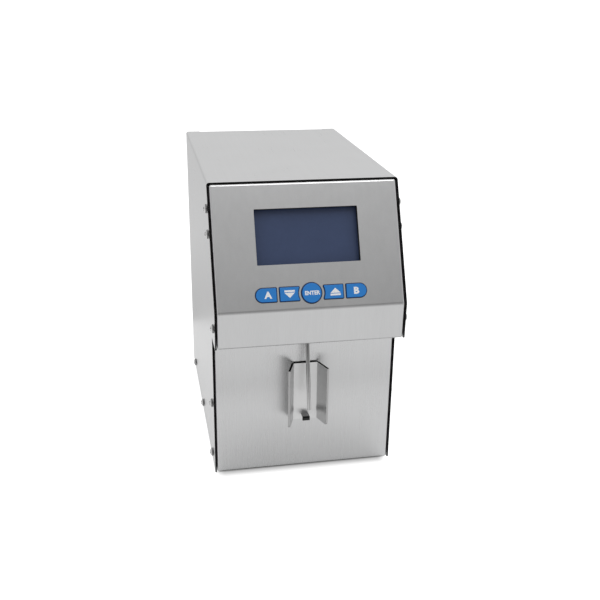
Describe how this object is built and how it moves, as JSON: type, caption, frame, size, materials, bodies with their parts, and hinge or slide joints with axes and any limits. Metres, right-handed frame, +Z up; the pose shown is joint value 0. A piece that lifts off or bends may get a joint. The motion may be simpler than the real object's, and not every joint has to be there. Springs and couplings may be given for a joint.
{
  "type": "milk analyzer",
  "caption": "Desktop milk analyzer: bent stainless housing with a sloping display and key panel, a hooded intake pipe over a sample holder, and an inner peristaltic pump and ultrasonic cell.",
  "frame": {"origin": "under the middle of the whole object, on the surface that its feet stand on", "axes": "+X to the right of someone facing the keys, +Y towards the rear, +Z up"},
  "size_m": [0.1474, 0.2586, 0.2342],
  "materials": {
    "brushed": "fine brushed stainless steel, with dark cut edges",
    "bright": "bright turned or plated steel",
    "zinc": "zinc-plated steel",
    "aluminium": "machined",
    "glass_dark": "clear pane over a dark blue display",
    "blue": "blue moulded keys, semi-gloss",
    "rubber": "black moulded rubber",
    "black": "black moulded plastic",
    "white": "white moulded plastic",
    "hose": "milky translucent silicone",
    "board": "green circuit board",
    "ribbon": "grey flat cable"
  },
  "bodies": {
    "housing": {"outer_cover": "brushed", "control_panel": "brushed", "chassis_tray": "brushed", "rear_panel": "brushed", "sample_holder": "brushed", "intake_pipe": "bright", "transducer_left": "bright", "transducer_right": "bright", "serial_port": "bright", "outlet_nipple": "bright", "side_screw_left_1": "bright", "side_screw_left_2": "bright", "side_screw_left_3": "bright", "side_screw_left_4": "bright", "side_screw_left_5": "bright", "side_screw_left_6": "bright", "side_screw_left_7": "bright", "side_screw_right_1": "bright", "side_screw_right_2": "bright", "side_screw_right_3": "bright", "side_screw_right_4": "bright", "side_screw_right_5": "bright", "side_screw_right_6": "bright", "side_screw_right_7": "bright", "rear_screw_1": "bright", "rear_screw_2": "bright", "rear_screw_3": "bright", "rear_screw_4": "bright", "inner_frame": "zinc", "pump_motor": "zinc", "power_supply": "zinc", "measuring_cell": "aluminium", "display_window": "glass_dark", "cup_rest": "rubber", "foot_front_left": "rubber", "foot_front_right": "rubber", "foot_rear_left": "rubber", "foot_rear_right": "rubber", "display_rim": "black", "pipe_bush": "black", "power_inlet": "black", "power_switch": "black", "dc_socket": "black", "pump_housing": "white", "intake_hose": "hose", "pump_tube": "hose", "keypad_board": "board", "display_module": "board", "main_board": "board", "display_ribbon": "ribbon"},
    "key_a": {"key_a": "blue"},
    "key_down": {"key_down": "blue"},
    "key_enter": {"key_enter": "blue"},
    "key_up": {"key_up": "blue"},
    "key_b": {"key_b": "blue"},
    "switch_rocker": {"switch_rocker": "black"},
    "pump_rotor": {"pump_rotor": "bright"},
    "pump_roller_1": {"pump_roller_1": "white"},
    "pump_roller_2": {"pump_roller_2": "white"},
    "pump_roller_3": {"pump_roller_3": "white"}
  },
  "joints": [
    {"name": "key_a_press", "type": "slide", "parent": "housing", "child": "key_a", "axis": [0, 0.9067, -0.4218], "range_m": [0, 0.0005], "stiffness_N_per_m": 2000, "springref_m": -0.0005},
    {"name": "key_down_press", "type": "slide", "parent": "housing", "child": "key_down", "axis": [0, 0.9067, -0.4218], "range_m": [0, 0.0005], "stiffness_N_per_m": 2000, "springref_m": -0.0005},
    {"name": "key_enter_press", "type": "slide", "parent": "housing", "child": "key_enter", "axis": [0, 0.9067, -0.4218], "range_m": [0, 0.0005], "stiffness_N_per_m": 2000, "springref_m": -0.0005},
    {"name": "key_up_press", "type": "slide", "parent": "housing", "child": "key_up", "axis": [0, 0.9067, -0.4218], "range_m": [0, 0.0005], "stiffness_N_per_m": 2000, "springref_m": -0.0005},
    {"name": "key_b_press", "type": "slide", "parent": "housing", "child": "key_b", "axis": [0, 0.9067, -0.4218], "range_m": [0, 0.0005], "stiffness_N_per_m": 2000, "springref_m": -0.0005},
    {"name": "rocker_tilt", "type": "hinge", "parent": "housing", "child": "switch_rocker", "pos_m": [0.04, 0.11855, 0.092], "axis": [-1, 0, 0], "range_deg": [0, 20]},
    {"name": "pump_spin", "type": "hinge", "parent": "housing", "child": "pump_rotor", "pos_m": [0, -0.03485, 0.07], "axis": [0, -1, 0], "continuous": true},
    {"name": "pump_roller_1_spin", "type": "hinge", "parent": "pump_rotor", "child": "pump_roller_1", "pos_m": [0, -0.03485, 0.08], "axis": [0, -1, 0], "continuous": true},
    {"name": "pump_roller_2_spin", "type": "hinge", "parent": "pump_rotor", "child": "pump_roller_2", "pos_m": [-0.00866, -0.03485, 0.065], "axis": [0, -1, 0], "continuous": true},
    {"name": "pump_roller_3_spin", "type": "hinge", "parent": "pump_rotor", "child": "pump_roller_3", "pos_m": [0.00866, -0.03485, 0.065], "axis": [0, -1, 0], "continuous": true}
  ],
  "couplings": [
    {"joint": "pump_roller_1_spin", "follows": "pump_spin", "ratio": -2.8182},
    {"joint": "pump_roller_2_spin", "follows": "pump_spin", "ratio": -2.8182},
    {"joint": "pump_roller_3_spin", "follows": "pump_spin", "ratio": -2.8182}
  ]
}
